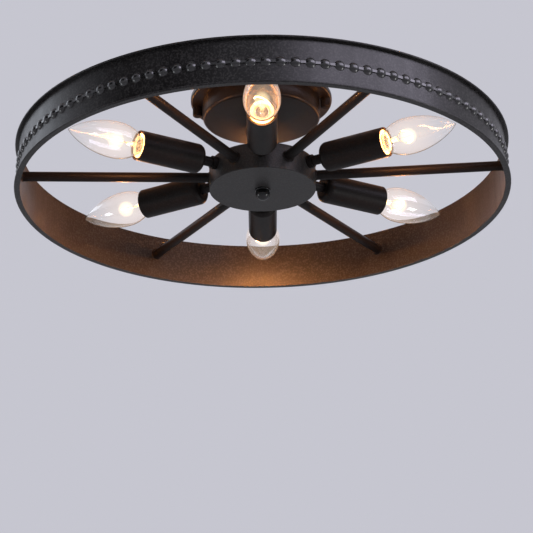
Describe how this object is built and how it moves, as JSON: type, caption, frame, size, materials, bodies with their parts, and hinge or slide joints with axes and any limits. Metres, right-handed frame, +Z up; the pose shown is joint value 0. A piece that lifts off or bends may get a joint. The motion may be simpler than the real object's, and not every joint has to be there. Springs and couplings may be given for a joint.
{
  "type": "ceiling light",
  "caption": "Low black wheel ceiling light: a beaded rim on rod spokes, with bare candle bulbs in sleeved sockets round a drum hub, under a round stepped canopy.",
  "frame": {"origin": "on the ceiling plane, on the stem's axis, midway between the ceiling bar's two screw slots", "axes": "+Z points up into the ceiling, along the stem; +X runs along the ceiling bar through both screw slots; +Y is across the bar"},
  "size_m": [0.5, 0.5, 0.114],
  "materials": {
    "black_powder_coat": "satin black powder coat",
    "black_gloss": "gloss black lacquer",
    "bead_black": "black powder coat on a pressed bead strip, a little brighter on the crowns",
    "zinc_steel": "bright zinc plate",
    "brass": "plain brass",
    "ivory_plastic": "matt thermoset",
    "nickel_cap": "bright nickel",
    "bulb_glass": "clear blown glass",
    "tungsten": "glowing filament on nickel leads"
  },
  "bodies": {
    "fixture": {"ceiling_bar": "zinc_steel", "earth_screw": "brass", "canopy_studs": "zinc_steel", "canopy": "black_powder_coat", "terminal_block": "ivory_plastic", "terminal_inserts": "brass", "threaded_rod": "zinc_steel", "rod_washers": "zinc_steel", "rod_nuts": "zinc_steel", "stem_tube": "black_powder_coat", "stem_collar_upper": "black_powder_coat", "stem_collar_lower": "black_powder_coat", "hub_body": "black_powder_coat", "hub_cover": "black_powder_coat", "rim_band": "black_powder_coat", "bead_trim": "bead_black", "socket_necks": "black_powder_coat", "neck_nuts": "zinc_steel", "neck_collars": "black_powder_coat", "holder_shells": "brass", "spoke_1": "black_powder_coat", "socket_sleeve_1": "black_powder_coat", "lampholder_1": "ivory_plastic", "spoke_2": "black_powder_coat", "socket_sleeve_2": "black_powder_coat", "lampholder_2": "ivory_plastic", "spoke_3": "black_powder_coat", "socket_sleeve_3": "black_powder_coat", "lampholder_3": "ivory_plastic", "spoke_4": "black_powder_coat", "socket_sleeve_4": "black_powder_coat", "lampholder_4": "ivory_plastic", "spoke_5": "black_powder_coat", "socket_sleeve_5": "black_powder_coat", "lampholder_5": "ivory_plastic", "spoke_6": "black_powder_coat", "socket_sleeve_6": "black_powder_coat", "lampholder_6": "ivory_plastic"},
    "bulb_1_cap": {"bulb_cap_1": "nickel_cap"},
    "bulb_1": {"bulb_glass_1": "bulb_glass", "filament_1": "tungsten"},
    "bulb_2_cap": {"bulb_cap_2": "nickel_cap"},
    "bulb_2": {"bulb_glass_2": "bulb_glass", "filament_2": "tungsten"},
    "bulb_3_cap": {"bulb_cap_3": "nickel_cap"},
    "bulb_3": {"bulb_glass_3": "bulb_glass", "filament_3": "tungsten"},
    "bulb_4_cap": {"bulb_cap_4": "nickel_cap"},
    "bulb_4": {"bulb_glass_4": "bulb_glass", "filament_4": "tungsten"},
    "bulb_5_cap": {"bulb_cap_5": "nickel_cap"},
    "bulb_5": {"bulb_glass_5": "bulb_glass", "filament_5": "tungsten"},
    "bulb_6_cap": {"bulb_cap_6": "nickel_cap"},
    "bulb_6": {"bulb_glass_6": "bulb_glass", "filament_6": "tungsten"},
    "nut_left": {"cap_nut_left": "black_powder_coat"},
    "nut_right": {"cap_nut_right": "black_powder_coat"},
    "finial": {"finial_nut": "black_gloss"}
  },
  "joints": [
    {"name": "bulb_1_travel", "type": "slide", "parent": "fixture", "child": "bulb_1_cap", "axis": [0.7965, 0.6046, 0], "range_m": [0, 0.0169]},
    {"name": "bulb_1_turn", "type": "hinge", "parent": "bulb_1_cap", "child": "bulb_1", "pos_m": [0.11112, 0.08434, -0.0845], "axis": [0.7965, 0.6046, 0], "range_deg": [0, 2160]},
    {"name": "bulb_2_travel", "type": "slide", "parent": "fixture", "child": "bulb_2_cap", "axis": [-0.1253, 0.9921, 0], "range_m": [0, 0.0169]},
    {"name": "bulb_2_turn", "type": "hinge", "parent": "bulb_2_cap", "child": "bulb_2", "pos_m": [-0.01748, 0.1384, -0.0845], "axis": [-0.1253, 0.9921, 0], "range_deg": [0, 2160]},
    {"name": "bulb_3_travel", "type": "slide", "parent": "fixture", "child": "bulb_3_cap", "axis": [-0.9219, 0.3875, 0], "range_m": [0, 0.0169]},
    {"name": "bulb_3_turn", "type": "hinge", "parent": "bulb_3_cap", "child": "bulb_3", "pos_m": [-0.1286, 0.05406, -0.0845], "axis": [-0.9219, 0.3875, 0], "range_deg": [0, 2160]},
    {"name": "bulb_4_travel", "type": "slide", "parent": "fixture", "child": "bulb_4_cap", "axis": [-0.7965, -0.6046, 0], "range_m": [0, 0.0169]},
    {"name": "bulb_4_turn", "type": "hinge", "parent": "bulb_4_cap", "child": "bulb_4", "pos_m": [-0.11112, -0.08434, -0.0845], "axis": [-0.7965, -0.6046, 0], "range_deg": [0, 2160]},
    {"name": "bulb_5_travel", "type": "slide", "parent": "fixture", "child": "bulb_5_cap", "axis": [0.1253, -0.9921, 0], "range_m": [0, 0.0169]},
    {"name": "bulb_5_turn", "type": "hinge", "parent": "bulb_5_cap", "child": "bulb_5", "pos_m": [0.01748, -0.1384, -0.0845], "axis": [0.1253, -0.9921, 0], "range_deg": [0, 2160]},
    {"name": "bulb_6_travel", "type": "slide", "parent": "fixture", "child": "bulb_6_cap", "axis": [0.9219, -0.3875, 0], "range_m": [0, 0.0169]},
    {"name": "bulb_6_turn", "type": "hinge", "parent": "bulb_6_cap", "child": "bulb_6", "pos_m": [0.1286, -0.05406, -0.0845], "axis": [0.9219, -0.3875, 0], "range_deg": [0, 2160]},
    {"name": "cap_nut_left_turn", "type": "hinge", "parent": "fixture", "child": "nut_left", "pos_m": [-0.06625, 0, -0.01], "axis": [0, 0, -1], "range_deg": [0, 3600]},
    {"name": "cap_nut_right_turn", "type": "hinge", "parent": "fixture", "child": "nut_right", "pos_m": [0.06625, 0, -0.01], "axis": [0, 0, -1], "range_deg": [0, 3600]},
    {"name": "finial_turn", "type": "hinge", "parent": "fixture", "child": "finial", "pos_m": [0, 0, -0.106], "axis": [0, 0, -1], "range_deg": [0, 2160]}
  ],
  "couplings": [
    {"joint": "bulb_1_turn", "follows": "bulb_1_travel", "rad_per_m": 2228.1},
    {"joint": "bulb_2_turn", "follows": "bulb_2_travel", "rad_per_m": 2228.1},
    {"joint": "bulb_3_turn", "follows": "bulb_3_travel", "rad_per_m": 2228.1},
    {"joint": "bulb_4_turn", "follows": "bulb_4_travel", "rad_per_m": 2228.1},
    {"joint": "bulb_5_turn", "follows": "bulb_5_travel", "rad_per_m": 2228.1},
    {"joint": "bulb_6_turn", "follows": "bulb_6_travel", "rad_per_m": 2228.1}
  ]
}
